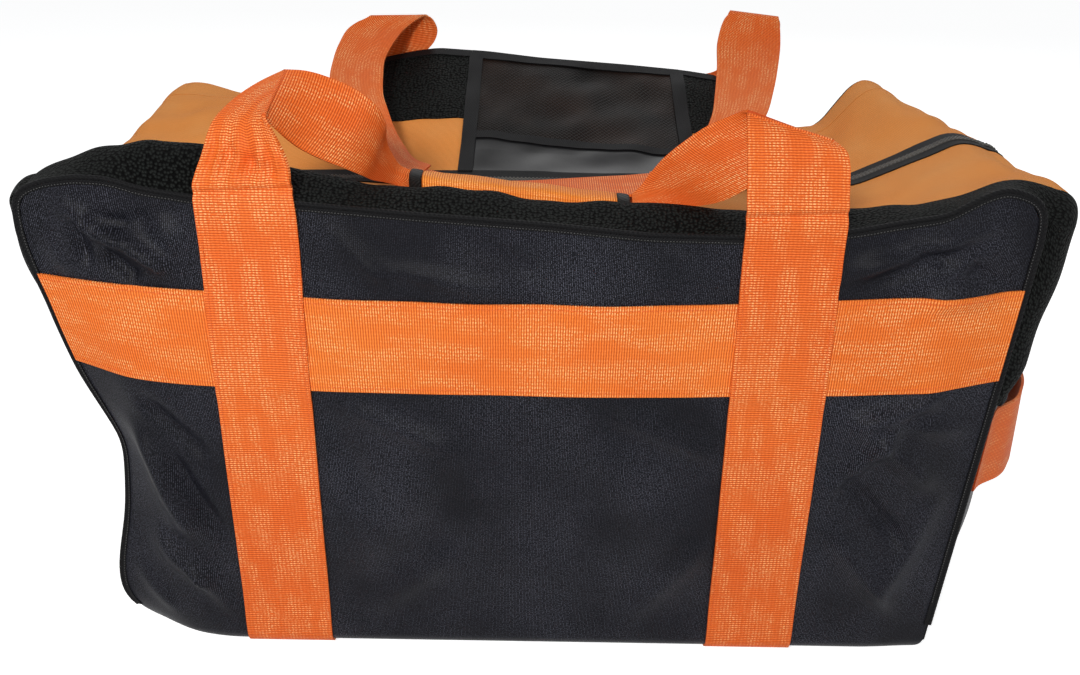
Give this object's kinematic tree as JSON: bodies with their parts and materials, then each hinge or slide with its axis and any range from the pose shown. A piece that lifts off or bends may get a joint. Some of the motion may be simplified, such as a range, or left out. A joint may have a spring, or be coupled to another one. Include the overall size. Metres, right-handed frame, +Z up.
{
  "type": "hockey equipment bag",
  "caption": "Soft-sided sports equipment bag with a long top zipper, a window and mesh in the top, webbing carry handles on the front and rear and a webbing handle on each end.",
  "frame": {"origin": "on the floor below the middle of the bag", "axes": "+X along the length, to the right seen from the front; -Y out of the front; +Z up"},
  "size_m": [0.852, 0.41, 0.503],
  "materials": {
    "body_fabric": "black woven polyester with a dull sheen",
    "base_fabric": "black coated base fabric",
    "orange_fabric": "orange plain-weave polyester",
    "webbing": "orange ribbed polypropylene webbing",
    "piping": "black ribbed tape over cord",
    "mesh": "black knobbly spacer mesh",
    "binding": "black binding tape",
    "zip_tape": "black woven tape",
    "zip_coil": "black nylon coil",
    "window_vinyl": "smooth dark vinyl",
    "embossed_vinyl": "dark vinyl with an embossed diamond pattern",
    "grip_end": "black edge of the grip",
    "slider_metal": "black lacquered zipper slider"
  },
  "bodies": {
    "bag": {"bottom_panel": "base_fabric", "front_band": "webbing", "front_mesh_strip": "mesh", "front_panel": "body_fabric", "front_piping": "piping", "front_top_panel": "orange_fabric", "front_zip_coil": "zip_coil", "front_zip_tape": "zip_tape", "left_end_handle": "webbing", "left_end_panel": "body_fabric", "left_end_upper": "orange_fabric", "left_front_top_end": "orange_fabric", "left_rear_top_end": "orange_fabric", "left_strap": "webbing", "left_zip_end": "zip_tape", "rear_band": "webbing", "rear_panel": "body_fabric", "rear_piping": "piping", "right_end_handle": "webbing", "right_end_panel": "body_fabric", "right_end_upper": "orange_fabric", "right_front_top_end": "orange_fabric", "right_rear_top_end": "orange_fabric", "right_strap": "webbing", "right_zip_end": "zip_tape"},
    "rear_flap": {"flap_left_mesh": "mesh", "flap_left_panel": "orange_fabric", "flap_right_mesh": "mesh", "flap_right_panel": "orange_fabric", "flap_zip_coil": "zip_coil", "flap_zip_tape": "zip_tape", "window_frame": "binding", "window_lower": "window_vinyl", "window_upper": "embossed_vinyl"},
    "front_handle": {"front_handle_left": "webbing", "front_handle_right": "webbing", "grip_left_end": "grip_end", "grip_right_end": "grip_end", "grip_sleeve": "webbing"},
    "rear_handle": {"rear_handle_left": "webbing", "rear_handle_loop": "webbing", "rear_handle_right": "webbing"},
    "zip_slider": {"slider_body": "slider_metal"},
    "zip_pull": {"pull_tab": "slider_metal"}
  },
  "joints": [
    {"name": "flap_hinge", "type": "hinge", "parent": "bag", "child": "rear_flap", "pos_m": [0, 0.2053, 0.441], "axis": [-1, 0, 0], "range_deg": [0, 100]},
    {"name": "front_handle_hinge", "type": "hinge", "parent": "bag", "child": "front_handle", "pos_m": [0, -0.2053, 0.402], "axis": [1, 0, 0], "range_deg": [0, 170]},
    {"name": "rear_handle_hinge", "type": "hinge", "parent": "rear_flap", "child": "rear_handle", "pos_m": [0, 0.2053, 0.441], "axis": [-1, 0, 0], "range_deg": [0, 75]},
    {"name": "slider_slide", "type": "slide", "parent": "bag", "child": "zip_slider", "axis": [-1, 0, 0], "range_m": [0, 0.55]},
    {"name": "pull_hinge", "type": "hinge", "parent": "zip_slider", "child": "zip_pull", "pos_m": [0.288, 0, 0.3845], "axis": [0, 1, 0], "range_deg": [0, 160]}
  ]
}
